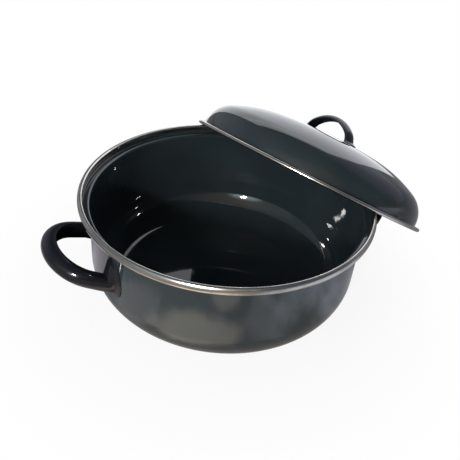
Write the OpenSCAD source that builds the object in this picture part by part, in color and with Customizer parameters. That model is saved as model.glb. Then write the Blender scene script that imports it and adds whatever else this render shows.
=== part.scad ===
// Enamelled steel dutch oven: a pressed pot with a ledge for its lid, a domed lid that
// leans against the pot, three pressed strap handles and a steel band on each rim.
// Millimetres. The origin is the middle of the pot's base on the floor, +Z up. The side
// handles point to +X and -X.

/* [Pot] */
// Outside diameter over the pot's rim band
rim_d = 290; // [240:1:360]
// Height from the floor to the top of the rim band
pot_h = 110; // [90:1:140]
// Outside diameter of the straight wall
wall_d = 269; // [220:1:336]
// Outside radius of the turn from the wall into the base
base_r = 41.5; // [20:0.5:60]
// Thickness of the pressed sheet with its enamel
sheet = 1.2; // [0.9:0.1:1.6]
// Depth of the lid's ledge below the top of the rim
ledge_depth = 8.5; // [6.5:0.5:14]
// Radius of the ledge's edge on the inside of the pot
ledge_r = 3.2; // [2:0.1:5]
// Radius of the turn from the ledge up into the neck, at the middle of the sheet
neck_r = 1.5; // [1.2:0.1:3]

/* [Rim bands] */
// Width of the pot's rim band across the rolled edge
rim_w = 5.1; // [4.5:0.1:7]
// Height of the pot's rim band
rim_h = 8.2; // [6:0.1:12]
// Thickness of the steel of both bands
band_t = 0.5; // [0.4:0.1:0.8]
// How far the pot's band reaches down inside the neck, below the middle of its roll
band_lip = 2.4; // [1:0.1:4]
// Radius of the pot band's lower corner, at the middle of its steel
band_corner_r = 0.8; // [0.5:0.1:1.5]
// Height of the lid's rim band
lid_rim_h = 4; // [3.8:0.1:6]
// Width of the lid's rim band
lid_rim_w = 4.8; // [4:0.1:7]

/* [Lid] */
// Gap all round between the lid's band and the pot's band when the lid is on
lid_clearance = 1.3; // [0.5:0.1:3]
// Width of the flange from the lid's side to its edge
flange_w = 6.6; // [6:0.1:12]
// Height above the lid's underside at which its side starts to curve in
lid_side_h = 5; // [5:0.5:20]
// Radius of the curve between the lid's side and its shoulder
lid_corner_r = 32; // [20:1:45]
// Radius of the lid's shoulder
lid_shoulder_r = 146; // [100:1:220]
// Slope at which the corner meets the shoulder
shoulder_slope = 27.5; // [20:0.5:35]
// Slope at which the shoulder meets the crown
crown_slope = 5.7; // [4:0.1:8]
// Radius of the turn from the lid's side into the flange, at the middle of the sheet
flange_r = 1.8; // [1.2:0.1:3]

/* [How the lid leans] */
// Tilt of the lid from level
lean = 33.2; // [31:0.1:36]
// Direction in which the lid slopes down, from the +X handle
lean_dir = 23.4; // [15:0.1:30]
// Gap left between the lid's band and the pot's band where they meet
lean_gap = 0.1; // [0.05:0.05:0.3]

/* [Strap handles] */
// Thickness of the handles' sheet
strap_t = 1.8; // [1.4:0.1:2.4]
// Height of the side handles' strap, across its open side
strap_h = 17; // [13:0.5:22]
// Depth of the side handles' strap at the arms
strap_d = 9.2; // [6:0.1:12]
// Depth of the side handles' strap at the grip
grip_d = 12.2; // [8:0.1:16]
// Distance between the two arms of a side handle at the wall
span = 79; // [66:1:95]
// Depth of a side handle's opening, from the wall to the grip
reach = 37.8; // [30:0.5:46]
// Angle at which each arm leans in towards the middle
arm_taper = 11.8; // [0:0.5:15]
// Radius of the corners between the arms and the grip
bend_r = 26.9; // [18:0.5:30]
// Half of the angle over which the grip bows
bow_angle = 41; // [25:1:60]
// Upward tilt of the side handles
handle_tilt = 21; // [0:1:30]
// Height of the strap's middle where a side handle meets the wall
handle_z = 61.3; // [50:0.5:70]
// How far the foot's upper edge rises above the strap
foot_rise = 22; // [8:0.5:24]
// How far the foot's lower edge drops below the strap
foot_drop = 2; // [0:0.5:6]
// Length of arm over which the foot widens
foot_len = 7; // [4:0.5:12]
// How far the foot's weld flange turns out along the wall
foot_lip = 3.5; // [1:0.5:6]
// Gap that the enamelled weld leaves under each foot
weld_gap = 0.2; // [0.1:0.05:0.3]

/* [Lid handle] */
// Height of the lid handle's strap, across its open side
knob_h = 13; // [10:0.5:18]
// Depth of the lid handle's strap
knob_d = 5; // [4:0.1:9]
// Distance between the lid handle's arms at the lid
knob_span = 70; // [62:1:84]
// Height of the lid handle's opening above the lid
knob_reach = 17.5; // [16:0.5:26]
// Angle at which each arm of the lid handle leans in towards the middle
knob_taper = 32; // [24:1:34]
// Radius of the lid handle's corners
knob_bend_r = 15; // [12:0.5:17]
// Half of the angle over which the lid handle's top bows
knob_bow_angle = 35; // [25:1:45]
// Length of arm over which the lid handle's foot widens
knob_foot_len = 4; // [3:0.5:5]
// How far the lid handle's weld flange turns out along the lid
knob_foot_lip = 3; // [1:0.5:5]
// Direction of the lid handle, turned from the lid's slope
knob_turn = -21.5; // [-90:0.5:90]

/* [Hidden] */

enamel = "#17181c";
steel = "#b9b5ab";
// Longest step along a curved profile, and the widest angle of one step
step_len = 3;
step_angle = 7.5;
// Faces round each turned piece
$fn = 180;

rim_r = rim_d / 2;
wall_r = wall_d / 2;
// Height of the middle of the pot's rolled edge, and its radius from the axis
roll_z = pot_h - rim_w / 2;
roll_r = rim_r - rim_w / 2;
neck_mid = rim_r - rim_w + band_t + sheet / 2;
ledge_mid_z = pot_h - ledge_depth - sheet / 2;
lid_r = rim_r - rim_w - lid_clearance;
dome_r = lid_r - flange_w;
flange_mid_z = lid_rim_h - band_t - sheet / 2;
hem_r = lid_rim_h / 2 - band_t;

// Sheet profiles. A profile is the middle line of a bent sheet: a start and an end, each
// [point, heading], and between them bends [centre, radius, from angle, to angle].
// Straight stretches are what joins one bend to the next.

function leftward(heading) = [-sin(heading), cos(heading)];
function steps(r, sweep) = max(ceil(abs(sweep) / step_angle), ceil(r * abs(sweep) * PI / 180 / step_len));
function arc(c, r, a, b) =
    let (n = steps(r, b - a)) [for (i = [0:n]) let (t = a + (b - a) * i / n) c + r * [cos(t), sin(t)]];
function bend_side(bend, off) =
    arc(bend[0], bend[1] + (bend[3] > bend[2] ? -off : off), bend[2], bend[3]);
function side(start, bends, end, off) = concat(
    [start[0] + off * leftward(start[1])],
    [for (b = bends) each bend_side(b, off)],
    [end[0] + off * leftward(end[1])]);
function reversed(list) = [for (i = [len(list) - 1:-1:0]) list[i]];
function sheet_outline(start, bends, end, t) =
    concat(side(start, bends, end, t / 2), reversed(side(start, bends, end, -t / 2)));

module turned_sheet(start, bends, end, t) {
    rotate_extrude() polygon(sheet_outline(start, bends, end, t));
}

// Pot: base, wall, ledge, neck and the edge rolled outwards and down
module pot_body() {
    ledge_mid_r = ledge_r - sheet / 2;
    roll_mid_r = rim_w / 2 - band_t - sheet / 2;
    hem_end_z = pot_h - rim_h + band_t + band_corner_r;
    color(enamel)
    turned_sheet(
        [[0, sheet / 2], 0],
        [[[wall_r - base_r, base_r], base_r - sheet / 2, -90, 0],
         [[wall_r - sheet + ledge_r, ledge_mid_z - ledge_mid_r], ledge_mid_r, 180, 90],
         [[neck_mid - neck_r, ledge_mid_z + neck_r], neck_r, -90, 0],
         [[roll_r, roll_z], roll_mid_r, 180, 0]],
        [[roll_r + roll_mid_r, hem_end_z], -90],
        sheet);
}

// Steel band over the pot's rolled edge, closed below it
module pot_rim_band() {
    color(steel)
    turned_sheet(
        [[rim_r - rim_w + band_t / 2, roll_z - band_lip], 90],
        [[[roll_r, roll_z], rim_w / 2 - band_t / 2, 180, 0],
         [[rim_r - band_t / 2 - band_corner_r, pot_h - rim_h + band_t / 2 + band_corner_r],
          band_corner_r, 0, -90]],
        [[rim_r - band_t - sheet, pot_h - rim_h + band_t / 2], 180],
        band_t);
}

// Lid arcs, as [centre, outside radius], each tangent to the next
lid_corner_c = [dome_r - lid_corner_r, lid_side_h];
lid_shoulder_c = lid_corner_c
    - (lid_shoulder_r - lid_corner_r) * [sin(shoulder_slope), cos(shoulder_slope)];
lid_crown_r = lid_shoulder_r + lid_shoulder_c.x / sin(crown_slope);
lid_crown_c = [0, lid_shoulder_c.y - (lid_crown_r - lid_shoulder_r) * cos(crown_slope)];
lid_h = lid_crown_c.y + lid_crown_r;

// Lid, in its own frame: the underside of its band at z = 0, the dome above
module lid_shell_flat() {
    half = sheet / 2;
    turned_sheet(
        [[0, lid_h - half], 0],
        [[lid_crown_c, lid_crown_r - half, 90, 90 - crown_slope],
         [lid_shoulder_c, lid_shoulder_r - half, 90 - crown_slope, 90 - shoulder_slope],
         [lid_corner_c, lid_corner_r - half, 90 - shoulder_slope, 0],
         [flange_turn_c, flange_r, 180, 270],
         [[lid_r - lid_rim_h / 2, lid_rim_h / 2], hem_r - half, 90, -90]],
        [[lid_r - lid_rim_w, band_t + half], 180],
        sheet);
}

module lid_rim_band_flat() {
    turned_sheet(
        [[lid_r - lid_rim_w, lid_rim_h - band_t / 2], 0],
        [[[lid_r - lid_rim_h / 2, lid_rim_h / 2], lid_rim_h / 2 - band_t / 2, 90, -90]],
        [[lid_r - lid_rim_w, band_t / 2], 180],
        band_t);
}

// How the lid leans: its low edge is on the floor, and its rim rests on two points of the
// pot's band, or on a wide pot the inside of its dome does. The gap is taken from points
// round the middle of the pot's rolled edge to the section of the lid: the band, the turn of
// its flange, its side and the inside of its dome.
ring_r = lid_r - lid_rim_h / 2;
ring_z = ring_r * sin(lean) + lid_rim_h / 2;
flange_turn_c = [dome_r - sheet / 2 + flange_r, flange_mid_z + flange_r];
function outside_box(p, low, high) = norm([for (i = [0:1]) max(low[i] - p[i], 0, p[i] - high[i])]);
function from_lid_rim(p) = min(
    outside_box(p, [lid_r - lid_rim_w, 0], [ring_r, lid_rim_h]),
    norm(p - [ring_r, lid_rim_h / 2]) - lid_rim_h / 2,
    norm(p - flange_turn_c) - flange_r - sheet / 2,
    outside_box(p, [dome_r - sheet, flange_turn_c.y], [dome_r, lid_side_h + lid_corner_r / 3]));
function from_dome(p) =
    let (to_corner = p - lid_corner_c, to_shoulder = p - lid_shoulder_c)
    to_corner.y < 0 ? lid_r :
    abs(atan2(to_corner.y, to_corner.x) < 90 - shoulder_slope ? lid_corner_r - norm(to_corner) :
        atan2(to_shoulder.y, to_shoulder.x) < 90 - crown_slope ? lid_shoulder_r - norm(to_shoulder) :
        lid_crown_r - norm(p - lid_crown_c)) - sheet;
// A point of the pot's rolled edge in the lid's frame, as [radius, height]
function in_lid(a, dist) =
    let (x = roll_r * cos(a) - dist, z = roll_z - ring_z)
    [norm([x * cos(lean) - z * sin(lean), roll_r * sin(a)]),
     x * sin(lean) + z * cos(lean) + lid_rim_h / 2];
function rim_gap(dist) =
    min([for (a = [0:0.25:180]) let (p = in_lid(a, dist)) min(from_lid_rim(p), from_dome(p))])
    - rim_w / 2 - lean_gap;
// Where the middle lines of the two rims would cross, which is nearer than where they touch
cross_cos = (ring_z - roll_z) / (ring_r * sin(lean));
cross_dist = sqrt(pow(roll_r, 2) - pow(ring_r, 2) * (1 - pow(cross_cos, 2)))
    - ring_r * cos(lean) * cross_cos;
function seek(near, far, tries) =
    let (mid = (near + far) / 2)
    tries == 0 ? far : rim_gap(mid) > 0 ? seek(near, mid, tries - 1) : seek(mid, far, tries - 1);
lid_dist = seek(cross_dist, cross_dist + 60, 16);

module leaning() {
    rotate([0, 0, lean_dir])
        translate([lid_dist, 0, ring_z])
            rotate([0, lean, 0])
                translate([0, 0, -lid_rim_h / 2])
                    children();
}

// Strap handles. The open side of the strap follows a path of two arms, two corners and
// a bow. A station on it is [point, outward angle]; each section is crowned outwards by
// its depth and is open towards the middle of the handle.
section_n = 17;
crown_power = 0.7;
corner_steps = 9;
bow_steps = 12;

// Points of one section as [outward, upward]: the outer face, then the inner face back
function section(h, d) = concat(
    [for (i = [0:section_n - 1]) let (a = -90 + 180 * i / (section_n - 1))
        [d * pow(abs(cos(a)), crown_power), h / 2 * sin(a)]],
    [for (i = [section_n - 1:-1:0]) let (a = -90 + 180 * i / (section_n - 1))
        [(d - strap_t) * pow(abs(cos(a)), crown_power), (h / 2 - strap_t) * sin(a)]]);
function is_outer(i) = i < section_n;

// Corner centre of a bow whose arms start half_span from the middle
function corner_centre(half_span, depth, taper, r, bow) =
    let (t = tan(bow / 2),
         y = (half_span - r * cos(taper) - tan(taper) * (depth - r + r * sin(taper))) / (1 - t * tan(taper)))
    [depth - r - y * t, y];

// Stations from one end of the arms to the other, without the feet
function stations(c, r, taper, bow) =
    let (bow_r = r + c.y / sin(bow),
         bow_c = [c.x - (bow_r - r) * cos(bow), 0],
         turn = 90 - taper - bow,
         corner = [for (i = [0:corner_steps]) let (a = 90 - taper - turn * i / corner_steps)
             [c + r * [cos(a), sin(a)], a]],
         half_bow = [for (i = [1:bow_steps / 2]) let (a = bow - bow * i / (bow_steps / 2))
             [bow_c + bow_r * [cos(a), sin(a)], a]],
         half = concat(corner, half_bow))
    concat(half, [for (i = [len(half) - 2:-1:0]) [[half[i][0].x, -half[i][0].y], -half[i][1]]]);

// Skin of a strap from its rings of points; each ring is outer face then inner face
module skin(rings) {
    m = 2 * section_n;
    last = (len(rings) - 1) * m;
    sides = [for (j = [0:len(rings) - 2], i = [0:m - 1])
        let (a = j * m + i, b = j * m + (i + 1) % m)
        each [[a, b, a + m], [b, b + m, a + m]]];
    function cap(base, flip) = [for (i = [0:section_n - 2])
        let (p = base + i, q = base + i + 1, r = base + m - 2 - i, s = base + m - 1 - i)
        each flip ? [[p, r, q], [p, s, r]] : [[p, q, r], [p, r, s]]];
    polyhedron([for (ring = rings) each ring], concat(sides, cap(0, true), cap(last, false)));
}

// A strap handle in its own frame: x out from what it is welded to, y along it, z up.
// A foot is [length, rise, drop, lip]. seat gives the x of the surface below it, for a y and
// a z.
module strap_handle(half_span, depth, taper, r, bow, h, d_arm, d_grip, foot, seat) {
    c = corner_centre(half_span, depth, taper, r, bow);
    line = stations(c, r, taper, bow);
    arm_x = line[0][0].x;
    function grip_share(x) = let (t = max(0, min(1, (x - arm_x) / (depth - arm_x)))) t * t * (3 - 2 * t);
    function place(p, a, uw) = [p.x + uw[0] * cos(a), p.y + uw[0] * sin(a), uw[1]];
    rings = [for (s = line)
        let (d = d_arm + (d_grip - d_arm) * grip_share(s[0].x))
        [for (uw = section(h, d)) place(s[0], s[1], uw)]];
    // The foot: the section grows taller and turns out towards the surface it is welded to.
    // Each point slides along the arm until it is off above that surface.
    function land(p, along, w, off, tries) = tries == 0 ? p :
        land(p + along * (seat(p.y, w) + off - p.x) / along.x, along, w, off, tries - 1);
    function foot_ring(from, off, grow, lip) =
        let (sec = section(h, d_arm), a = from[1], along = [-sin(abs(a)), sign(a) * cos(abs(a))])
        [for (i = [0:len(sec) - 1])
            let (share = sec[i][1] / h + 0.5,
                 w = sec[i][1] + grow * (share * foot[1] - (1 - share) * foot[2]),
                 u = sec[i][0] + (is_outer(i) ? lip * foot[3] : 0),
                 p = land(from[0] + u * [cos(a), sin(a)], along, w, off, 4))
            [p.x, p.y, w]];
    function foot_rings(from) = [
        foot_ring(from, 0, 1, 1),
        foot_ring(from, strap_t * 0.8, 1 - strap_t * 0.8 / foot[0], 1),
        foot_ring(from, strap_t * 1.6, 1 - strap_t * 1.6 / foot[0], 0.2),
        foot_ring(from, foot[0], 0, 0)];
    skin(concat(foot_rings(line[0]), rings, reversed(foot_rings(line[len(line) - 1]))));
}

// Side handle towards +X. Its frame is tilted up about the wall at the height handle_z.
module side_handle() {
    function wall_x(y, w) =
        (sqrt(pow(wall_r + weld_gap, 2) - y * y) - wall_r + w * sin(handle_tilt)) / cos(handle_tilt);
    color(enamel)
    translate([wall_r, 0, handle_z])
        rotate([0, -handle_tilt, 0])
            strap_handle(span / 2, reach, arm_taper, bend_r, bow_angle,
                strap_h, strap_d, grip_d, [foot_len, foot_rise, foot_drop, foot_lip],
                function (y, w) wall_x(y, w));
}

module left_side_handle() { rotate([0, 0, 180]) side_handle(); }
module right_side_handle() { side_handle(); }
module lid_shell() { color(enamel) leaning() lid_shell_flat(); }
module lid_rim_band() { color(steel) leaning() lid_rim_band_flat(); }

// Lid handle: the same strap, standing on the crown of the lid
module lid_handle() {
    function crown_z(y, w) = sqrt(pow(lid_crown_r + weld_gap, 2) - y * y - w * w) - lid_crown_r;
    color(enamel)
    leaning()
        rotate([0, 0, knob_turn])
            translate([0, 0, lid_h])
                rotate([0, -90, 0])
                    strap_handle(knob_span / 2, knob_reach, knob_taper, knob_bend_r, knob_bow_angle,
                        knob_h, knob_d, knob_d, [knob_foot_len, 1, 1, knob_foot_lip],
                        function (y, w) crown_z(y, w));
}

pot_body();
pot_rim_band();
left_side_handle();
right_side_handle();
lid_shell();
lid_rim_band();
lid_handle();
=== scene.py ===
"""A black enamelled dutch oven, open, with its domed lid leaning against the rim.

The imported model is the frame. Each of its sheets is made again here as a fine surface:
the pot, the lid and their steel bands are profiles turned round an axis, and the strap
handles are one crowned section carried along a path. Lengths are in metres.
"""

from __future__ import annotations

import logging
import math
from dataclasses import dataclass, field
from enum import Enum
from typing import Callable

import bpy
import numpy as np
from mathutils import Matrix, Vector

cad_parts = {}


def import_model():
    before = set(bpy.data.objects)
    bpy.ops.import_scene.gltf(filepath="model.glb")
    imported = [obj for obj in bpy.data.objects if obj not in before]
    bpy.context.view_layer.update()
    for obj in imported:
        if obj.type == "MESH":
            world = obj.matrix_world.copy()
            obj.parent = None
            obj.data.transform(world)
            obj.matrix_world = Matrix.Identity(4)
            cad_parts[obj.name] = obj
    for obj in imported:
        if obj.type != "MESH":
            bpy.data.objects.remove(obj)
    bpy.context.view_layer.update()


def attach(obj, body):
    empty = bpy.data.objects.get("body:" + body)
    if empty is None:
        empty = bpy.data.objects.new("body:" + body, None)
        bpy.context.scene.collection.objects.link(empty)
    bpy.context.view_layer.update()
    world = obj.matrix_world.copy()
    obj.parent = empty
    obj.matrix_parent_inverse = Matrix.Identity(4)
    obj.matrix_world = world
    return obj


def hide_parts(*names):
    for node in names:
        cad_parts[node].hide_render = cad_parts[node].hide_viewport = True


Colour = tuple[float, float, float]
Point = tuple[float, float, float]

LOG = logging.getLogger("dutch_oven")
MM = 0.001
BODY = "root"
UV_LAYER = "sheet"
WHITE = (1.0, 1.0, 1.0)
WARM_WHITE = (1.0, 0.98, 0.95)
COOL_WHITE = (0.95, 1.0, 1.0)
PALE_BLUE = (0.97, 0.98, 1.0)
# Angle in degrees from which an edge is sharp
SHARP_ANGLE = 38
# The longest steps of an arc, in degrees and in metres, and its fewest steps
ARC_STEP = 7.5
ARC_CHORD = 2.2 * MM
ARC_PARTS = 4
# Points nearer than this are one point, and one this near to the axis is on it
SAME_POINT = 1e-7
# A straight longer than this gets a point just inside each end, which keeps its shading flat
LONG_STRAIGHT = 3.5 * MM
END_INSET = 0.5 * MM
# Steps round the axis of a turned shell and of a turned band
SHELL_SEGMENTS = 300
BAND_SEGMENTS = 360
# How often the points of a foot slide along the arm to reach the seat
SEAT_ROUNDS = 5
# Numbers of a Mix node's sockets: its factor and two colours, and the colour that comes out
MIX_INPUTS = (0, 6, 7)
MIX_OUTPUT = 2


class Slot(Enum):
    """The record's material slots."""

    ENAMEL = "enamel"
    HANDLE_ENAMEL = "handle_enamel"
    RIM_STEEL = "rim_steel"


@dataclass(frozen=True)
class Bend:
    """An arc of a sheet's middle line: centre (radius, height), radius and angles in degrees."""

    centre: tuple[float, float]
    radius: float
    start: float
    end: float

    def side(self, offset: float) -> np.ndarray:
        """Points of the arc at an offset to the left of its direction.

        Args:
            offset: distance to the left, negative for the right.

        Returns:
            One row per point: centre + r (cos t, sin t), with r less the offset where the
            arc turns left and more where it turns right.
        """
        r = self.radius - math.copysign(offset, offset * (self.end - self.start))
        sweep = math.radians(abs(self.end - self.start))
        turns, chords = sweep / math.radians(ARC_STEP), r * sweep / ARC_CHORD
        count = max(ARC_PARTS, math.ceil(turns), math.ceil(chords))
        t = np.radians(np.linspace(self.start, self.end, count + 1))
        return np.array(self.centre) + r * np.stack([np.cos(t), np.sin(t)], axis=1)


@dataclass(frozen=True)
class SheetProfile:
    """The middle line of a bent sheet: where it starts and ends, its bends and its thickness."""

    start: tuple[float, float]
    start_heading: float
    bends: tuple[Bend, ...]
    end: tuple[float, float]
    end_heading: float
    thickness: float

    @staticmethod
    def _left(heading: float) -> np.ndarray:
        """Unit vector to the left of a heading in degrees."""
        a = math.radians(heading)
        return np.array([-math.sin(a), math.cos(a)])

    def side(self, offset: float) -> np.ndarray:
        """The line of the sheet at an offset, with a point close to each end of a straight.

        Args:
            offset: distance to the left of the middle line, negative for the right.

        Returns:
            One row per point, without the doubled ones where two arcs meet.
        """
        points = np.concatenate(
            [
                [np.array(self.start) + offset * self._left(self.start_heading)],
                *[bend.side(offset) for bend in self.bends],
                [np.array(self.end) + offset * self._left(self.end_heading)],
            ]
        )
        step = np.linalg.norm(np.diff(points, axis=0), axis=1)
        apart = step > SAME_POINT
        points, step = points[np.append(True, apart)], step[apart]
        long = np.flatnonzero(step > LONG_STRAIGHT)
        inset = (points[long + 1] - points[long]) / step[long, None] * END_INSET
        extra = np.stack([points[long] + inset, points[long + 1] - inset], axis=1).reshape(-1, 2)
        return np.insert(points, np.repeat(long + 1, 2), extra, axis=0)

    def outline(self) -> np.ndarray:
        """The sheet's whole section: its left side, then its right side back to the start."""
        half = self.thickness / 2
        return np.concatenate([self.side(half), self.side(-half)[::-1]])


def link(thing: bpy.types.Object) -> bpy.types.Object:
    """Puts a new object into the scene, and returns it."""
    bpy.context.scene.collection.objects.link(thing)
    return thing


@dataclass
class Surface:
    """A mesh as arrays: points, faces as tuples of point indices, and a UV for each face corner."""

    points: np.ndarray
    faces: list[tuple[int, ...]]
    uvs: np.ndarray

    def moved(self, matrix: Matrix) -> Surface:
        """The same surface with its points multiplied by a 4 by 4 matrix."""
        m = np.array(matrix)
        return Surface(self.points @ m[:3, :3].T + m[:3, 3], self.faces, self.uvs)

    def to_object(self, name: str) -> bpy.types.Object:
        """Puts the arrays into a new smooth mesh object at the origin.

        Args:
            name: the piece's name.

        Returns:
            The linked object.
        """
        mesh = bpy.data.meshes.new(name)
        mesh.from_pydata(self.points, [], self.faces)
        layer = mesh.uv_layers.new(name=UV_LAYER)
        layer.uv.foreach_set("vector", self.uvs.astype(np.float32).ravel())
        mesh.validate()
        mesh.update()
        mesh.shade_smooth()
        mesh.set_sharp_from_angle(angle=math.radians(SHARP_ANGLE))
        return link(bpy.data.objects.new(name, mesh))


def grid_faces(rows: int, cols: int, wrap_rows: bool) -> np.ndarray:
    """Quads of a grid whose columns wrap round.

    Corner (i, j) has the index i * cols + j, and face (i, j) joins rows i and i + 1 and
    columns j and j + 1, counted modulo the size where they wrap.

    Args:
        rows: number of rows.
        cols: number of columns.
        wrap_rows: whether the last row joins the first.

    Returns:
        An array of four corner indices per face.
    """
    i, j = np.meshgrid(np.arange(rows if wrap_rows else rows - 1), np.arange(cols), indexing="ij")
    below, right = (i + 1) % rows, (j + 1) % cols
    corners = [i * cols + j, below * cols + j, below * cols + right, i * cols + right]
    return np.stack(corners, axis=-1).reshape(-1, 4)


def turned(section: np.ndarray, segments: int = SHELL_SEGMENTS) -> Surface:
    """Turns a section, given as (radius, height), round the Z axis.

    Point (i, j) is (r_i cos a_j, r_i sin a_j, z_i) with a_j = 2 pi j / segments. A section
    that starts and ends on the axis gets a pole at each end, any other one is a closed ring.
    U runs round the axis and V is the distance along the section.

    Args:
        section: the closed section's points in order.
        segments: number of steps round the axis.

    Returns:
        The closed surface, facing outwards.
    """
    r, z = section.T
    if np.sum(r * np.roll(z, -1) - np.roll(r, -1) * z) > 0:
        section = section[::-1]
    on_axis = np.abs(section[:, 0]) < SAME_POINT
    closed = not on_axis.any()
    if not closed:
        section = np.roll(section, -int(np.argmax(on_axis & np.roll(on_axis, 1))), axis=0)
    steps = np.linalg.norm(np.diff(section, axis=0, append=section[:1]), axis=1)
    along = np.concatenate([[0], np.cumsum(steps)])
    first = 0 if closed else 1
    rows = len(section) - 2 * first
    ring_r, ring_z = section[first : first + rows].T
    angle = 2 * np.pi * np.arange(segments) / segments
    points = np.stack(
        [
            np.outer(ring_r, np.cos(angle)),
            np.outer(ring_r, np.sin(angle)),
            np.repeat(ring_z[:, None], segments, axis=1),
        ],
        axis=-1,
    ).reshape(-1, 3)
    quads = grid_faces(rows, segments, closed)
    faces = [tuple(face) for face in quads.tolist()]
    row, col = quads[:, 0] // segments, quads[:, 0] % segments
    u0, u1 = col / segments, (col + 1) / segments
    v0, v1 = along[first + row], along[first + row + 1]
    uvs = np.stack([u0, v0, u0, v1, u1, v1, u1, v0], axis=1).reshape(-1, 2)
    if closed:
        return Surface(points, faces, uvs)
    j = np.arange(segments)
    after, last = (j + 1) % segments, (rows - 1) * segments
    start, end = (np.full(segments, len(points) + pole) for pole in (0, 1))
    points = np.vstack([points, [0, 0, section[0, 1]], [0, 0, section[-1, 1]]])
    start_fan = np.stack([start, j, after], axis=1)
    end_fan = np.stack([last + j, end, last + after], axis=1)
    faces += [tuple(face) for face in np.vstack([start_fan, end_fan]).tolist()]
    u0, u1 = j / segments, (j + 1) / segments
    v = [np.full(segments, along[place]) for place in (0, 1, rows, rows + 1)]
    start_uvs = np.stack([u0, v[0], u0, v[1], u1, v[1]], axis=1).reshape(-1, 2)
    end_uvs = np.stack([u0, v[2], u0, v[3], u1, v[2]], axis=1).reshape(-1, 2)
    return Surface(points, faces, np.vstack([uvs, start_uvs, end_uvs]))


def smooth(share: np.ndarray) -> np.ndarray:
    """A smooth step from 0 to 1: x squared times (3 - 2x)."""
    return share * share * (3 - 2 * share)


@dataclass(frozen=True)
class Foot:
    """A handle's welded foot: its length along the arm, how far it rises and drops, its lip.

    Near the seat the sizes count in sheet thicknesses: the lip falls off from lip_start
    over lip_fade, its first ring is drawn in by toe, and its rings lie at ring_steps times
    ring_pitch as far as rings_end of the foot's length. One more ring is at last_ring of it.
    """

    length: float
    rise: float
    drop: float
    lip: float
    lip_start: float = 0.45
    lip_fade: float = 1.25
    lip_power: float = 1.5
    toe: float = 0.2
    ring_pitch: float = 0.8
    ring_steps: tuple[float, ...] = (0, 0.25, 0.5, 0.7, 0.85, 1.0, 1.2, 1.45, 1.7, 2.0, 2.4)
    rings_end: float = 0.8
    last_ring: float = 0.9


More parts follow.
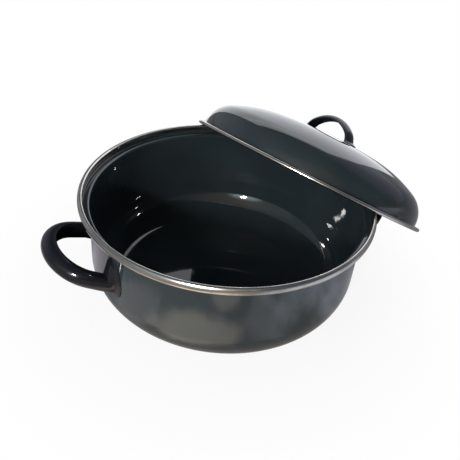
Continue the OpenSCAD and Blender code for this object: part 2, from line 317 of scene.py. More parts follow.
@dataclass(frozen=True)
class Strap:
    """A pressed strap handle in its own frame: X out from the seat, Y along it, Z up.

    The open side of the strap follows two arms, two corners and a bow. Each section is
    crowned outwards by its depth: outwards it goes as depth times cos a to the power crown,
    upwards as half the height times sin a. Taper is the slant of the arms and bow is half
    the turn of the bow, in degrees.
    """

    half_span: float
    reach: float
    taper: float
    corner_r: float
    bow: float
    height: float
    arm_depth: float
    grip_depth: float
    sheet: float
    foot: Foot
    seat: Callable[[np.ndarray, np.ndarray], np.ndarray]
    crown: float = 0.7
    corner_steps: int = 30
    bow_steps: int = 36
    face_steps: int = 30
    edge_steps: int = 6

    def corner_centre(self) -> np.ndarray:
        """Centre of the corner that is tangent to the arm and to the bow.

        Returns:
            The centre as (outward, along the seat).
        """
        taper, bow = math.radians(self.taper), math.radians(self.bow)
        t, r = math.tan(bow / 2), self.corner_r
        across = self.half_span - r * math.cos(taper)
        across -= math.tan(taper) * (self.reach - r + r * math.sin(taper))
        y = across / (1 - t * math.tan(taper))
        return np.array([self.reach - r - y * t, y])

    def stations(self) -> tuple[np.ndarray, np.ndarray]:
        """Path points and outward angles from one arm's end to the other's.

        Returns:
            The points, one row each, and the angles in radians.
        """
        c, r = self.corner_centre(), self.corner_r
        taper, bow = math.radians(self.taper), math.radians(self.bow)
        bow_r = r + c[1] / math.sin(bow)
        bow_c = np.array([c[0] - (bow_r - r) * math.cos(bow), 0.0])
        a = np.linspace(math.pi / 2 - taper, bow, self.corner_steps + 1)
        b = np.linspace(bow, 0, self.bow_steps // 2 + 1)[1:]
        corner = c + r * np.stack([np.cos(a), np.sin(a)], axis=1)
        grip = bow_c + bow_r * np.stack([np.cos(b), np.sin(b)], axis=1)
        points, angles = np.vstack([corner, grip]), np.concatenate([a, b])
        other = points[-2::-1] * [1, -1]
        return np.vstack([points, other]), np.concatenate([angles, -angles[-2::-1]])

    def section(self, depth: np.ndarray) -> np.ndarray:
        """Sections as (outward, upward) for an array of depths, with rounded sheet edges.

        Args:
            depth: one depth per section.

        Returns:
            An array of shape (sections, points, 2): outer face upwards, the top edge as a
            half circle, inner face downwards and the bottom edge.
        """
        half = self.sheet / 2

        def face(d: np.ndarray, h: float) -> np.ndarray:
            """One face of the sheet, of each section.

            Args:
                d: depth of the face in each section.
                h: half the face's height.

            Returns:
                An array of shape (sections, points, 2).
            """
            limit = np.arccos((half / d) ** (1 / self.crown))
            a = limit[:, None] * np.sin(np.linspace(-np.pi / 2, np.pi / 2, self.face_steps))
            out = d[:, None] * np.cos(a) ** self.crown
            return np.stack([out, h * np.sin(a) / np.sin(limit)[:, None]], axis=-1)

        outer = face(depth, self.height / 2)
        inner = face(depth - self.sheet, self.height / 2 - self.sheet)[:, ::-1]
        t = np.linspace(0, np.pi, self.edge_steps + 2)[1:-1]
        edge = np.stack([half - half * np.sin(t), self.height / 2 - half + half * np.cos(t)], axis=-1)
        top = np.repeat(edge[None], len(depth), axis=0)
        low = top[:, ::-1] * [1, -1]
        return np.concatenate([outer, top, inner, low], axis=1)

    def foot_rings(self, origin: np.ndarray, angle: float) -> np.ndarray:
        """Rings from the seat to the end of the foot.

        At distance s from the seat the section is taller by (1 - s / length) of the rise
        and the drop, and its outer face stands out by the lip, which falls off over the
        first part of the foot. Each point slides along the arm until it is s above the seat.

        Args:
            origin: the path's first point.
            angle: the outward angle there.

        Returns:
            An array of shape (rings, points, 3), from the seat outwards.
        """
        foot, t = self.foot, self.sheet
        s = np.array(foot.ring_steps) * foot.ring_pitch * t
        s = s[s < foot.rings_end * foot.length]
        s = np.append(s, [foot.last_ring * foot.length, foot.length])
        near = np.clip((s - foot.lip_start * t) / (foot.lip_fade * t), 0, 1)
        lip = foot.lip * (1 - smooth(near)) ** foot.lip_power
        lip[0] -= foot.toe * t
        section = self.section(np.array([self.arm_depth]))[0]
        u, w = section[:, 0], section[:, 1]
        outer = np.arange(len(u)) < self.face_steps
        share = w / self.height + 0.5
        grow = (1 - s / foot.length)[:, None]
        up = w + grow * (share * foot.rise - (1 - share) * foot.drop)
        out = u + np.where(outer, lip[:, None], 0)
        normal = np.array([math.cos(angle), math.sin(angle)])
        along = np.array([-math.sin(abs(angle)), math.copysign(math.cos(angle), angle)])
        p = origin + out[..., None] * normal
        for _ in range(SEAT_ROUNDS):
            slide = (self.seat(p[..., 1], up) + s[:, None] - p[..., 0]) / along[0]
            p = p + slide[..., None] * along
        return np.concatenate([p, up[..., None]], axis=-1)

    def surface(self) -> Surface:
        """The whole handle: both feet and the sections between them, closed at the seat.

        Returns:
            The closed surface, facing outwards.
        """
        path, angles = self.stations()
        share = smooth(np.clip((path[:, 0] - path[0, 0]) / (self.reach - path[0, 0]), 0, 1))
        section = self.section(self.arm_depth + (self.grip_depth - self.arm_depth) * share)
        normal = np.stack([np.cos(angles), np.sin(angles)], axis=1)
        flat = path[:, None] + section[..., :1] * normal[:, None]
        middle = np.concatenate([flat, section[..., 1:]], axis=-1)
        first = self.foot_rings(path[0], angles[0])
        last = self.foot_rings(path[-1], angles[-1])[::-1]
        rings = np.concatenate([first, middle, last])
        rows, cols = rings.shape[:2]
        quads = grid_faces(rows, cols, False)[:, ::-1]
        faces = [tuple(face) for face in quads.tolist()]
        faces.append(tuple(range(cols)))
        faces.append(tuple(range(rows * cols - 1, (rows - 1) * cols - 1, -1)))
        around = np.arange(rows * cols) % cols / cols
        along = np.arange(rows * cols) // cols / rows
        loops = np.concatenate([np.array(face) for face in (quads, faces[-2], faces[-1])], axis=None)
        return Surface(rings.reshape(-1, 3), faces, np.stack([around, along], axis=1)[loops])


class Value:
    """A socket that a node gives, with operators that add Math nodes."""

    def __init__(self, shader: Shader, socket: bpy.types.NodeSocket) -> None:
        """Wraps a socket of a shader."""
        self.shader = shader
        self.socket = socket

    def _math(self, operation: str, *terms: Value | float) -> Value:
        """Adds a Math node.

        Args:
            operation: the node's operation.
            terms: values or numbers for its sockets, in order.

        Returns:
            The node's result.
        """
        node = self.shader.node("Math", {"operation": operation}, dict(enumerate(terms)))
        return self.shader.value(node)

    def __add__(self, other: Value | float) -> Value:
        """Self plus other."""
        return self._math("ADD", self, other)

    __radd__ = __add__

    def __sub__(self, other: Value | float) -> Value:
        """Self minus other."""
        return self._math("SUBTRACT", self, other)

    def __rsub__(self, other: float) -> Value:
        """Other minus self."""
        return self._math("SUBTRACT", other, self)

    def __mul__(self, other: Value | float) -> Value:
        """Self times other."""
        return self._math("MULTIPLY", self, other)

    __rmul__ = __mul__

    def ramp(self, low: float, high: float) -> Value:
        """A smooth step over the value.

        Args:
            low: where the step starts, 0 below it.
            high: where the step ends, 1 above it.

        Returns:
            The step.
        """
        settings = {"interpolation_type": "SMOOTHSTEP"}
        node = self.shader.node("MapRange", settings, Value=self, From_Min=low, From_Max=high)
        return self.shader.value(node, "Result")


class Shader:
    """One material or world under construction."""

    def __init__(self, tree: bpy.types.NodeTree) -> None:
        """Empties a node tree and keeps it."""
        self.tree = tree
        tree.nodes.clear()

    def node(
        self,
        kind: str,
        settings: dict[str, object] | None = None,
        sockets: dict[int, object] | None = None,
        **inputs: object,
    ) -> bpy.types.Node:
        """Adds a node.

        Args:
            kind: the node's type, without the leading ShaderNode.
            settings: properties, which are set first.
            sockets: values or links by the number of an input, where names repeat.
            inputs: values or links by the name of an input, with _ for a space.

        Returns:
            The node.
        """
        node = self.tree.nodes.new("ShaderNode" + kind)
        for key, value in (settings or {}).items():
            setattr(node, key, value)
        named = {name.replace("_", " "): value for name, value in inputs.items()}
        for key, value in ((sockets or {}) | named).items():
            self.feed(node.inputs[key], value)
        return node

    def feed(self, socket: bpy.types.NodeSocket, value: object) -> None:
        """Links or sets one input.

        Args:
            socket: the input.
            value: a Value or a socket to link, a node to link by its first output, or what
                the input is set to. A colour is its red, green and blue.
        """
        if isinstance(value, bpy.types.Node):
            value = value.outputs[0]
        elif isinstance(value, Value):
            value = value.socket
        if isinstance(value, bpy.types.NodeSocket):
            self.tree.links.new(value, socket)
        elif isinstance(value, tuple) and len(value) < len(socket.default_value):
            socket.default_value = (*value, 1)
        else:
            socket.default_value = value

    def value(self, node: bpy.types.Node, output: str | int = 0) -> Value:
        """Wraps an output of a node."""
        return Value(self, node.outputs[output])

    def place(self) -> bpy.types.NodeSocket:
        """The point in the object's own frame, in metres."""
        return self.node("TexCoord").outputs["Object"]

    def noise(self, vector: object, scale: float, detail: float = 2) -> Value:
        """A noise of about 0.5 whose features are 1 / scale long."""
        return self.value(self.node("TexNoise", Vector=vector, Scale=scale, Detail=detail))

    def length(self, vector: bpy.types.NodeSocket, **frame: object) -> Value:
        """Distance of a point from the origin of a frame, in the frame's own units.

        Args:
            vector: the point.
            frame: the frame's Location, Rotation and Scale.

        Returns:
            The distance.
        """
        inside = self.node("Mapping", {"vector_type": "TEXTURE"}, Vector=vector, **frame)
        return self.value(self.node("VectorMath", {"operation": "LENGTH"}, Vector=inside), "Value")

    def colour(self, channels: list[Value | float]) -> Value:
        """A colour from its red, green and blue."""
        return self.value(self.node("CombineColor", sockets=dict(enumerate(channels))))

    def mix(self, factor: Value | float, a: Colour | Value, b: Colour | Value) -> Value:
        """Mixes two colours.

        Args:
            factor: the share of the second colour.
            a: the first colour.
            b: the second colour.

        Returns:
            The mixed colour.
        """
        sockets = dict(zip(MIX_INPUTS, (factor, a, b)))
        return self.value(self.node("Mix", {"data_type": "RGBA"}, sockets), MIX_OUTPUT)


def new_material(name: str) -> tuple[bpy.types.Material, Shader]:
    """Makes an empty material.

    Args:
        name: the material's name.

    Returns:
        The material, and the shader that fills its nodes.
    """
    material = bpy.data.materials.new(name)
    material.use_nodes = True
    return material, Shader(material.node_tree)


@dataclass(frozen=True)
class EnamelFinish:
    """Black vitreous enamel: glassy, clouded in the ground, with waves, orange peel and pinpricks.

    Waves and peel are bumps of that strength. A scale is the number of features in a metre,
    and a range holds the noise values at which a patch starts and at which it is full.
    """

    name: str
    base: Colour
    cloud: Colour
    ior: float = 1.5
    roughness: float = 0.03
    cloud_scale: float = 14
    cloud_range: tuple[float, float] = (0.35, 0.7)
    cloud_roughness: float = 0.02
    wave: float = 0.04
    wave_scale: float = 22
    wave_height: float = 0.6 * MM
    peel: float = 0.03
    peel_scale: float = 420
    peel_height: float = 0.05 * MM
    speck_scale: float = 900
    speck_range: tuple[float, float] = (0.74, 0.8)
    speck_roughness: float = 0.15

    def material(self) -> bpy.types.Material:
        """Builds the finish.

        Returns:
            The material.
        """
        material, sh = new_material(self.name)
        place = sh.place()
        clouds = sh.noise(place, self.cloud_scale, detail=3).ramp(*self.cloud_range)
        specks = sh.noise(place, self.speck_scale, detail=1).ramp(*self.speck_range)
        waves = sh.noise(place, self.wave_scale, detail=1)
        peel = sh.noise(place, self.peel_scale)
        waved = sh.node("Bump", Strength=self.wave, Distance=self.wave_height, Height=waves)
        peeled = sh.node(
            "Bump", Strength=self.peel, Distance=self.peel_height, Height=peel, Normal=waved
        )
        body = sh.node(
            "BsdfPrincipled",
            Base_Color=sh.mix(clouds, self.base, self.cloud),
            Roughness=self.roughness + self.cloud_roughness * clouds + self.speck_roughness * specks,
            IOR=self.ior,
            Normal=peeled,
        )
        sh.node("OutputMaterial", Surface=body)
        return material


@dataclass(frozen=True)
class SteelFinish:
    """Stainless steel band, drawn round the rim, with fine lines, small wavers and dull stains.

    Lines and wavers are bumps of that strength. The lines' scale counts along the band's UV:
    once round the rim, and a metre across the band. The other scales and the range are as in
    the enamel.
    """

    name: str
    base: Colour
    dull: Colour
    roughness: float
    line: float = 0.12
    line_scale: Point = (14, 9000, 1)
    line_height: float = 0.02 * MM
    line_roughness: float = 0.12
    waver: float = 0.25
    waver_scale: float = 90
    waver_height: float = 0.2 * MM
    stain_scale: float = 60
    stain_range: tuple[float, float] = (0.4, 0.75)
    stain_roughness: float = 0.1

    def material(self) -> bpy.types.Material:
        """Builds the finish.

        Returns:
            The material.
        """
        material, sh = new_material(self.name)
        place, uv = sh.place(), sh.node("UVMap", {"uv_map": UV_LAYER})
        lines = sh.noise(sh.node("Mapping", Vector=uv, Scale=self.line_scale), 1, detail=3)
        stains = sh.noise(place, self.stain_scale, detail=3).ramp(*self.stain_range)
        wavers = sh.noise(place, self.waver_scale)
        waved = sh.node("Bump", Strength=self.waver, Distance=self.waver_height, Height=wavers)
        lined = sh.node(
            "Bump", Strength=self.line, Distance=self.line_height, Height=lines, Normal=waved
        )
        body = sh.node(
            "BsdfPrincipled",
            Base_Color=sh.mix(stains, self.base, self.dull),
            Metallic=1.0,
            Roughness=self.roughness + self.line_roughness * lines + self.stain_roughness * stains,
            Normal=lined,
        )
        sh.node("OutputMaterial", Surface=body)
        return material


def add_piece(
    surface: Surface, name: str, node: str, material: bpy.types.Material
) -> None:
    """Puts a surface into the scene in place of a node of the frame.

    Args:
        surface: the finished surface.
        name: the piece's name.
        node: the frame's node that the piece stands for.
        material: the finish.
    """
    piece = surface.to_object(name)
    piece.data.materials.append(material)
    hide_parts(node)
    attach(piece, BODY)
    LOG.info("%s: %d points, %d faces", name, len(surface.points), len(surface.faces))


@dataclass
class Pot:
    """The pot: one deep-drawn sheet with a ledge for the lid, and its steel rim band.

    The rolled edge is tight over the top and slack down its face, which starts at the
    angle face_start. Inside the band the sheet goes on to the angle tuck.
    """

    rim_r: float = 145 * MM
    height: float = 110 * MM
    wall_r: float = 134.5 * MM
    base_r: float = 41.5 * MM
    sheet: float = 1.2 * MM
    ledge_depth: float = 8.5 * MM
    ledge_r: float = 3.2 * MM
    neck_r: float = 1.5 * MM
    rim_w: float = 5.1 * MM
    rim_h: float = 8.2 * MM
    band_t: float = 0.5 * MM
    band_lip: float = 2.4 * MM
    band_corner_r: float = 0.8 * MM
    face_r: float = 5.4 * MM
    face_start: float = 35
    tuck: float = -25
    roll_r: float = field(init=False)
    roll: tuple[float, float] = field(init=False)
    face: tuple[float, float] = field(init=False)

    def __post_init__(self) -> None:
        """Works out the rolled edge's two arcs, which share a tangent at face_start."""
        cos, sin = math.cos(math.radians(self.face_start)), math.sin(math.radians(self.face_start))
        self.roll_r = (self.rim_w - self.face_r * (1 - cos)) / (1 + cos)
        self.roll = (self.rim_r - self.rim_w + self.roll_r, self.height - self.roll_r)
        self.face = (self.rim_r - self.face_r, self.roll[1] - (self.face_r - self.roll_r) * sin)

    def edge(self, depth: float, end: float) -> tuple[Bend, Bend]:
        """The rolled edge's arcs, over the top and down the face.

        Args:
            depth: how far they lie inside the band's outer side.
            end: angle at which the face ends, in degrees.

        Returns:
            The two arcs.
        """
        return (
            Bend(self.roll, self.roll_r - depth, 180, self.face_start),
            Bend(self.face, self.face_r - depth, self.face_start, end),
        )

    def sheet_profile(self) -> SheetProfile:
        """Base, wall, ledge, neck and the edge rolled outwards and down.

        Returns:
            The middle line of the sheet, from the axis to the edge.
        """
        ledge_mid = self.ledge_r - self.sheet / 2
        ledge_z = self.height - self.ledge_depth - self.sheet / 2
        depth = self.band_t + self.sheet / 2
        neck = self.rim_r - self.rim_w + depth
        edge = self.edge(depth, self.tuck)
        last = math.radians(self.tuck)
        base_centre = (self.wall_r - self.base_r, self.base_r)
        ledge_centre = (self.wall_r - self.sheet + self.ledge_r, ledge_z - ledge_mid)
        return SheetProfile(
            start=(0.0, self.sheet / 2),
            start_heading=0,
            bends=(
                Bend(base_centre, self.base_r - self.sheet / 2, -90, 0),
                Bend(ledge_centre, ledge_mid, 180, 90),
                Bend((neck - self.neck_r, ledge_z + self.neck_r), self.neck_r, -90, 0),
                *edge,
            ),
            end=(
                self.face[0] + edge[1].radius * math.cos(last),
                self.face[1] + edge[1].radius * math.sin(last),
            ),
            end_heading=self.tuck - 90,
            thickness=self.sheet,
        )

    def band_profile(self) -> SheetProfile:
        """The steel band over the rolled edge, closed below it.

        Returns:
            The middle line of the band, from the neck over the edge.
        """
        low_z = self.height - self.rim_h + self.band_t / 2
        step = self.face_r - self.band_t / 2 - self.band_corner_r
        turn = math.asin((low_z + self.band_corner_r - self.face[1]) / step)
        corner = (self.face[0] + step * math.cos(turn), low_z + self.band_corner_r)
        return SheetProfile(
            start=(self.rim_r - self.rim_w + self.band_t / 2, self.roll[1] - self.band_lip),
            start_heading=90,
            bends=(
                *self.edge(self.band_t / 2, math.degrees(turn)),
                Bend(corner, self.band_corner_r, math.degrees(turn), -90),
            ),
            end=(corner[0] - self.band_corner_r, low_z),
            end_heading=180,
            thickness=self.band_t,
        )

    def build(self, enamel: bpy.types.Material, steel: bpy.types.Material) -> None:
        """Makes the pot and its band.

        Args:
            enamel: the pot's finish.
            steel: the band's finish.
        """
        shell = turned(self.sheet_profile().outline())
        add_piece(shell, "pot_shell", "pot_body", enamel)
        band = turned(self.band_profile().outline(), BAND_SEGMENTS)
        add_piece(band, "pot_band", "pot_rim_band", steel)


@dataclass
class SideHandles:
    """The pot's two pressed strap handles, tilted up about the wall."""

    pot: Pot
    height: float = 61.3 * MM
    tilt: float = 21
    weld_gap: float = 0.2 * MM

    def strap(self) -> Strap:
        """The handle in its own tilted frame.

        Returns:
            The strap, seated on the wall.
        """
        tilt, radius = math.radians(self.tilt), self.pot.wall_r

        def wall(y: np.ndarray, w: np.ndarray) -> np.ndarray:
            """Where the pot's wall lies: the cylinder x² + y² = r², seen in the tilted frame."""
            reach = np.sqrt((radius + self.weld_gap) ** 2 - y * y) - radius
            return (reach + w * math.sin(tilt)) / math.cos(tilt)

        return Strap(
            half_span=39.5 * MM,
            reach=37.8 * MM,
            taper=11.8,
            corner_r=26.9 * MM,
            bow=41,
            height=17 * MM,
            arm_depth=9.2 * MM,
            grip_depth=12.2 * MM,
            sheet=1.8 * MM,
            foot=Foot(length=7 * MM, rise=22 * MM, drop=2 * MM, lip=3.5 * MM),
            seat=wall,
        )

    def build(self, enamel: bpy.types.Material) -> None:
        """Makes the right handle and the left one, half a turn round.

        Args:
            enamel: their finish.
        """
        surface = self.strap().surface()
        tilt = Matrix.Rotation(-math.radians(self.tilt), 4, "Y")
        place = Matrix.Translation((self.pot.wall_r, 0, self.height)) @ tilt
        for side, turn in (("right", 0.0), ("left", math.pi)):
            moved = surface.moved(Matrix.Rotation(turn, 4, "Z") @ place)
            add_piece(moved, f"{side}_strap", f"{side}_side_handle", enamel)


@dataclass
class Lid:
    """The domed lid with its steel band and strap handle, leaning on the pot's rim.

    Its dome has three arcs that run on from each other: corner, shoulder and crown. The
    slopes are the angles at which the shoulder and the crown start, seen from the rim. The
    middle of its rim lies at the distance from the pot's axis, in the lean's direction.
    """

    radius: float = 138.6 * MM
    rim_h: float = 4 * MM
    rim_w: float = 4.8 * MM
    flange_w: float = 6.6 * MM
    flange_r: float = 1.8 * MM
    side_h: float = 5 * MM
    corner_r: float = 32 * MM
    shoulder_r: float = 146 * MM
    shoulder_slope: float = 27.5
    crown_slope: float = 5.7
    sheet: float = 1.2 * MM
    band_t: float = 0.5 * MM
    lean: float = 33.2
    lean_direction: float = 23.4
    distance: float = 135.86 * MM
    weld_gap: float = 0.2 * MM
    handle_turn: float = -21.5
    crown_r: float = field(init=False)
    height: float = field(init=False)

    def __post_init__(self) -> None:
        """Works out the crown, whose arc is tangent to the shoulder's."""
        centre = self.shoulder_centre()
        slope = math.radians(self.crown_slope)
        self.crown_r = self.shoulder_r + centre[0] / math.sin(slope)
        self.height = centre[1] - (self.crown_r - self.shoulder_r) * math.cos(slope) + self.crown_r

    def corner_centre(self) -> tuple[float, float]:
        """Centre of the curve between the side and the shoulder."""
        return self.radius - self.flange_w - self.corner_r, self.side_h

    def shoulder_centre(self) -> tuple[float, float]:
        """Centre of the shoulder's arc, which is tangent to the corner's.

        Returns:
            The centre as (radius, height).
        """
        slope = math.radians(self.shoulder_slope)
        step = self.shoulder_r - self.corner_r
        r, z = self.corner_centre()
        return r - step * math.sin(slope), z - step * math.cos(slope)

    def sheet_profile(self) -> SheetProfile:
        """Crown, shoulder, corner, flange and the hemmed edge.

        Returns:
            The middle line of the sheet, from the axis to the hem.
        """
        half = self.sheet / 2
        dome = self.radius - self.flange_w
        flange_z = self.rim_h - self.band_t - half
        crown, shoulder = 90 - self.crown_slope, 90 - self.shoulder_slope
        flange = (dome - half + self.flange_r, flange_z + self.flange_r)
        hem = (self.radius - self.rim_h / 2, self.rim_h / 2)
        return SheetProfile(
            start=(0.0, self.height - half),
            start_heading=0,
            bends=(
                Bend((0.0, self.height - self.crown_r), self.crown_r - half, 90, crown),
                Bend(self.shoulder_centre(), self.shoulder_r - half, crown, shoulder),
                Bend(self.corner_centre(), self.corner_r - half, shoulder, 0),
                Bend(flange, self.flange_r, 180, 270),
                Bend(hem, self.rim_h / 2 - self.band_t - half, 90, -90),
            ),
            end=(self.radius - self.rim_w, self.band_t + half),
            end_heading=180,
            thickness=self.sheet,
        )

    def band_profile(self) -> SheetProfile:
        """The steel band folded over the hemmed edge.

        Returns:
            The middle line of the band, from above the flange to below it.
        """
        inner = self.radius - self.rim_w
        edge = (self.radius - self.rim_h / 2, self.rim_h / 2)
        return SheetProfile(
            start=(inner, self.rim_h - self.band_t / 2),
            start_heading=0,
            bends=(Bend(edge, self.rim_h / 2 - self.band_t / 2, 90, -90),),
            end=(inner, self.band_t / 2),
            end_heading=180,
            thickness=self.band_t,
        )

    def placement(self) -> Matrix:
        """Where the lid leans.

        Returns:
            The matrix from the lid's own frame, with its underside at zero, to the pot's.
        """
        lean = math.radians(self.lean)
        centre_z = (self.radius - self.rim_h / 2) * math.sin(lean) + self.rim_h / 2
        return (
            Matrix.Rotation(math.radians(self.lean_direction), 4, "Z")
            @ Matrix.Translation((self.distance, 0, centre_z))
            @ Matrix.Rotation(lean, 4, "Y")
            @ Matrix.Translation((0, 0, -self.rim_h / 2))
        )

    def strap(self) -> Strap:
        """The lid's handle in its own frame, X up from the crown.

        Returns:
            The strap, seated on the crown.
        """
        crown = self.crown_r

        def dome(y: np.ndarray, w: np.ndarray) -> np.ndarray:
            """Height of the crown's sphere: the square root of r² - y² - w², less r."""
            return np.sqrt((crown + self.weld_gap) ** 2 - y * y - w * w) - crown

        return Strap(
            half_span=35 * MM,
            reach=17.5 * MM,
            taper=32,
            corner_r=15 * MM,
            bow=35,
            height=13 * MM,
            arm_depth=5 * MM,
            grip_depth=5 * MM,
            sheet=1.8 * MM,
            foot=Foot(length=4 * MM, rise=1 * MM, drop=1 * MM, lip=3 * MM),
            seat=dome,
        )

    def build(
        self, enamel: bpy.types.Material, handle: bpy.types.Material, steel: bpy.types.Material
    ) -> None:
        """Makes the lid, its band and its handle.

        Args:
            enamel: the lid's finish.
            handle: the handle's finish.
            steel: the band's finish.
        """
        place = self.placement()
        shell = turned(self.sheet_profile().outline()).moved(place)
        add_piece(shell, "lid_dome", "lid_shell", enamel)
        band = turned(self.band_profile().outline(), BAND_SEGMENTS).moved(place)
        add_piece(band, "lid_band", "lid_rim_band", steel)
        stand = (
            Matrix.Rotation(math.radians(self.handle_turn), 4, "Z")
            @ Matrix.Translation((0, 0, self.height))
            @ Matrix.Rotation(-math.pi / 2, 4, "Y")
        )
        strap = self.strap().surface().moved(place @ stand)
        add_piece(strap, "lid_strap", "lid_handle", handle)


def direction(azimuth: float, elevation: float) -> Vector:
    """Unit vector of a direction given in degrees."""
    a, e = math.radians(azimuth), math.radians(elevation)
    return Vector((math.cos(e) * math.cos(a), math.cos(e) * math.sin(a), math.sin(e)))


class LampShape(Enum):
    """Outlines of a lamp."""

    ELLIPSE = "ELLIPSE"
    RECTANGLE = "RECTANGLE"


@dataclass(frozen=True)
class Lamp:
    """A soft lamp: its place, where its back faces, its width and height, its glow and colour.

    Back is an azimuth and an elevation in degrees. A lamp that isn't mirrored only lights,
    and one that doesn't light is only seen in mirrors.
    """

    name: str
    place: Point
    back: tuple[float, float]
    size: tuple[float, float]
    glow: float
    colour: Colour
    shape: LampShape = LampShape.RECTANGLE
    mirrored: bool = True
    lights: bool = True

    def build(self) -> None:
        """Adds the lamp, with its power worked out from its glow: glow times pi times area."""
        rounding = math.pi / 4 if self.shape is LampShape.ELLIPSE else 1
        width, height = self.size
        data = bpy.data.lights.new(self.name, "AREA")
        data.shape = self.shape.value
        data.size = width
        data.size_y = height
        data.energy = self.glow * math.pi * (width * height * rounding)
        data.color = self.colour
        lamp = link(bpy.data.objects.new(self.name, data))
        lamp.location = self.place
        lamp.rotation_euler = direction(*self.back).to_track_quat("Z", "Y").to_euler()
        lamp.visible_camera = False
        lamp.visible_glossy = self.mirrored
        lamp.visible_diffuse = self.lights


@dataclass(frozen=True)
class Lobe:
    """A soft brighter part of the sky round a direction, whole to inner degrees, gone at outer."""

    azimuth: float
    elevation: float
    inner: float
    outer: float
    change: Colour


@dataclass(frozen=True)
class PaintedReflection:
    """A painted reflection: a patch of glow on the floor that only mirrors see, an ellipse round a
    point, turned in degrees.
    """

    centre: Point
    turn: float
    size: Point
    change: Colour


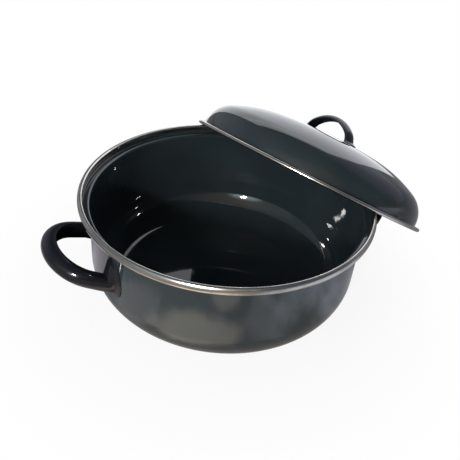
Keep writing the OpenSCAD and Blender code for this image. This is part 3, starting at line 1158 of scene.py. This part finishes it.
@dataclass
class Studio:
    """Pale floor, soft surroundings, lamps and the camera at the photograph's angle.

    The camera sees the floor as plain white, a share floor_seen of it at the object and all
    of it past shadow_edge, and mirrors see a share floor_mirrored of its glow, which is painted
    reflection: a plain glow with soft patches. A patch is full within the first of the two edge
    numbers, in its own half sizes, and gone at the second, and a noise makes that edge ragged.
    """

    floor_size: float = 12.0
    floor_drop: float = 0.2 * MM
    floor_colour: Colour = (0.78, 0.77, 0.75)
    floor_seen: float = 0.9
    floor_mirrored: float = 0.7
    # Plain painted reflection: the floor's glow as mirrors see it, before the patches are added
    floor_glow: Colour = (0.23, 0.23, 0.25)
    shadow_edge: tuple[float, float] = (0.12, 0.29)
    ragged: float = 0.9
    ragged_scale: float = 16
    # Painted reflection patches: full within the first distance, gone at the second, in half sizes
    painted_reflection_edge: tuple[float, float] = (0.5, 1.0)
    # Patches of painted reflection on the floor, seen only in mirrors: centre, turn, half sizes,
    # added glow
    painted_reflections: tuple[PaintedReflection, ...] = (
        PaintedReflection((-0.13, -0.18, 0.0), 0, (0.3, 0.2, 1.0), (0.1, 0.04, -0.02)),
        PaintedReflection((-0.105, -0.14, 0.0), -38, (0.085, 0.042, 1.0), (2.0, 1.75, 1.4)),
        PaintedReflection((-0.095, -0.225, 0.0), 0, (0.05, 0.035, 1.0), (1.3, 1.2, 1.0)),
        PaintedReflection((0.0, -0.205, 0.0), 0, (0.045, 0.05, 1.0), (0.6, 0.65, 0.75)),
        PaintedReflection((-0.21, 0.09, 0.0), 20, (0.09, 0.13, 1.0), (0.5, 0.42, 0.5)),
        PaintedReflection((-0.17, -0.06, 0.0), 0, (0.05, 0.06, 1.0), (0.6, 0.55, 0.55)),
        PaintedReflection((0.15, -0.12, 0.0), 0, (0.10, 0.10, 1.0), (0.28, 0.28, 0.32)),
        PaintedReflection((0.17, -0.28, 0.0), 30, (0.25, 0.19, 1.0), (0.86, 0.98, 1.2)),
        PaintedReflection((0.7, -0.7, 0.0), 0, (0.7, 0.6, 1.0), (0.8, 0.8, 0.85)),
    )
    sky: Colour = (0.11, 0.14, 0.17)
    lobes: tuple[Lobe, ...] = (
        Lobe(-132, 18, 4, 18, (2.4, 3.0, 3.2)),
        Lobe(-150, 25, 8, 40, (0.30, 0.34, 0.32)),
        Lobe(150, 25, 10, 70, (0.12, 0.14, 0.14)),
        Lobe(-118, 38, 8, 36, (0.31, 0.19, 0.06)),
        Lobe(20, 16, 10, 50, (0.26, 0.24, 0.30)),
        Lobe(115, 10, 10, 45, (0.20, 0.17, 0.20)),
    )
    camera_place: Point = (-0.21833, -0.44764, 0.42357)
    aim: Point = (-0.006407, -0.023569, 0.08)
    roll: float = 5.80
    lens: float = 46.96
    film_width: float = 36
    nearest: float = 10 * MM
    lamps: tuple[Lamp, ...] = (
        Lamp(
            "key",
            (-0.719, -0.827, 0.548),
            (-131, 24),
            (0.084, 0.084),
            360,
            WARM_WHITE,
            LampShape.ELLIPSE,
        ),
        Lamp(
            "glint",
            (-0.721, -0.829, 0.549),
            (-131, 24),
            (0.11, 0.11),
            800,
            WARM_WHITE,
            LampShape.ELLIPSE,
            lights=False,
        ),
        Lamp(
            "fill",
            (-1.033, -0.376, 0.548),
            (-160, 24),
            (0.5, 0.5),
            6.3,
            COOL_WHITE,
            mirrored=False,
        ),
        Lamp("card", (0.2128, 0.2236, 0.26), (60, 0), (0.385, 0.42), 1.3, PALE_BLUE),
        Lamp("card_top", (0.2241, 0.2182, 0.392), (60, 0), (0.41, 0.165), 0.5, PALE_BLUE),
    )

    def floor(self) -> None:
        """A plain pale floor, seen as nearly white, that keeps the object's soft shadow.

        In mirrors it also glows, as painted reflection: a plain part, changed by each patch where
        the distance from its middle, in its half sizes and with a noise added, falls from 1 to a
        half.
        """
        half = self.floor_size / 2
        mesh = bpy.data.meshes.new("floor")
        corners = [(-half, -half, 0), (half, -half, 0), (half, half, 0), (-half, half, 0)]
        mesh.from_pydata(corners, [], [(0, 1, 2, 3)])
        floor = link(bpy.data.objects.new("floor", mesh))
        floor.location.z = -self.floor_drop
        material, sh = new_material("floor")
        matt = sh.node("BsdfDiffuse", Color=self.floor_colour)
        path = sh.node("LightPath")
        camera_ray = sh.value(path, "Is Camera Ray")
        place = sh.place()
        ragged = self.ragged * (sh.noise(place, self.ragged_scale, detail=3) - 0.5)
        # Painted reflection that only mirrors see: the plain glow with each patch added
        channels = list(self.floor_glow)
        for reflection_patch in self.painted_reflections:
            turn = (0, 0, math.radians(reflection_patch.turn))
            away = sh.length(place, Location=reflection_patch.centre, Rotation=turn, Scale=reflection_patch.size) + ragged
            patch = 1 - away.ramp(*self.painted_reflection_edge)
            channels = [channel + change * patch for channel, change in zip(channels, reflection_patch.change)]
        glow = sh.node("Emission", Color=sh.mix(camera_ray, sh.colour(channels), WHITE))
        far = sh.length(place).ramp(*self.shadow_edge)
        seen = (self.floor_seen + (1 - self.floor_seen) * far) * camera_ray
        # Glossy rays see this share of the painted reflection in place of the matt floor
        mirrored = self.floor_mirrored * sh.value(path, "Is Glossy Ray")
        blend = sh.node("MixShader", sockets={1: matt, 2: glow}, Fac=seen + mirrored)
        sh.node("OutputMaterial", Surface=blend)
        mesh.materials.append(material)

    def world(self) -> None:
        """White towards the camera, and for the rest a dim sky with its soft lobes.

        A lobe adds its change where the angle to its middle is below inner degrees, nothing
        above outer degrees, and a smooth share of it between.
        """
        world = bpy.data.worlds.new("surroundings")
        bpy.context.scene.world = world
        world.use_nodes = True
        sh = Shader(world.node_tree)
        place = sh.node("TexCoord").outputs["Generated"]
        channels = list(self.sky)
        for lobe in self.lobes:
            sockets = {0: place, 1: direction(lobe.azimuth, lobe.elevation)}
            dot = sh.node("VectorMath", {"operation": "DOT_PRODUCT"}, sockets)
            low, high = math.cos(math.radians(lobe.outer)), math.cos(math.radians(lobe.inner))
            share = sh.value(dot, "Value").ramp(low, high)
            channels = [share * change + channel for channel, change in zip(channels, lobe.change)]
        camera_ray = sh.value(sh.node("LightPath"), "Is Camera Ray")
        colour = sh.mix(camera_ray, sh.colour(channels), WHITE)
        sh.node("OutputWorld", Surface=sh.node("Background", Color=colour, Strength=1.0))

    def camera(self) -> None:
        """The camera, with the photograph's place, aim, lens and roll."""
        data = bpy.data.cameras.new("camera")
        data.lens = self.lens
        data.sensor_width = self.film_width
        data.clip_start = self.nearest
        camera = link(bpy.data.objects.new("camera", data))
        camera.location = self.camera_place
        back = Vector(self.camera_place) - Vector(self.aim)
        roll = Matrix.Rotation(math.radians(self.roll), 3, "Z")
        camera.rotation_euler = (back.to_track_quat("Z", "Y").to_matrix() @ roll).to_euler()
        bpy.context.scene.camera = camera

    def build(self) -> None:
        """Makes the whole studio."""
        self.floor()
        self.world()
        for lamp in self.lamps:
            lamp.build()
        self.camera()
        bpy.context.scene.view_settings.view_transform = "Standard"


POT_ENAMEL = EnamelFinish(
    name="black_enamel",
    base=(0.018, 0.0245, 0.0285),
    cloud=(0.0235, 0.031, 0.0355),
)
HANDLE_ENAMEL = EnamelFinish(
    name="black_handle_enamel",
    base=(0.004, 0.004, 0.006),
    cloud=(0.008, 0.008, 0.011),
    ior=1.42,
    roughness=0.09,
    peel=0.08,
)
BOW_ENAMEL = EnamelFinish(
    name="satin_handle_enamel",
    base=(0.012, 0.013, 0.017),
    cloud=(0.018, 0.019, 0.023),
    ior=1.45,
    roughness=0.32,
    peel=0.1,
)
BAND_STEEL = SteelFinish(
    name="rim_band_steel",
    base=(0.45, 0.425, 0.39),
    dull=(0.33, 0.31, 0.28),
    roughness=0.12,
)


def main() -> None:
    """Builds the oven and its studio, and notes the sizes."""
    logging.basicConfig(level=logging.INFO, format="%(message)s")
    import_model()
    enamel = POT_ENAMEL.material()
    handle_enamel = HANDLE_ENAMEL.material()
    bow_enamel = BOW_ENAMEL.material()
    steel = BAND_STEEL.material()
    pot = Pot()
    pot.build(enamel, steel)
    SideHandles(pot).build(handle_enamel)
    Lid().build(enamel, bow_enamel, steel)
    Studio().build()


if __name__ == "__main__":
    main()
